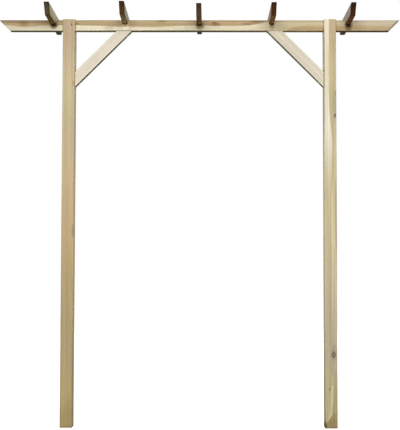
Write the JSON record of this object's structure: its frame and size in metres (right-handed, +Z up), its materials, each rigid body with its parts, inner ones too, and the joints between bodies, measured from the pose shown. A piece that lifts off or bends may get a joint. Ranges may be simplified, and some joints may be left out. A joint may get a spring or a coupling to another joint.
{
  "type": "wooden pergola arch",
  "caption": "Open garden pergola arch: two square timber posts carry a beam in slotted tops, with corner braces and short notched rafters laid across it.",
  "frame": {"origin": "middle of the left post's foot, on the ground, as seen from the front", "axes": "+X along the beam towards the right post, +Y to the back, +Z up the posts"},
  "size_m": [2, 0.4009, 2.0589],
  "materials": {
    "post_pine": "planed, pressure treated",
    "beam_pine": "planed, pressure treated",
    "brace_pine": "planed, pressure treated",
    "rafter_pine": "planed, pressure treated"
  },
  "bodies": {
    "root": {"left_post": "post_pine", "right_post": "post_pine", "cross_beam": "beam_pine", "left_brace": "brace_pine", "right_brace": "brace_pine", "rafter_1": "rafter_pine", "rafter_2": "rafter_pine", "rafter_3": "rafter_pine", "rafter_4": "rafter_pine", "rafter_5": "rafter_pine"}
  },
  "joints": []
}
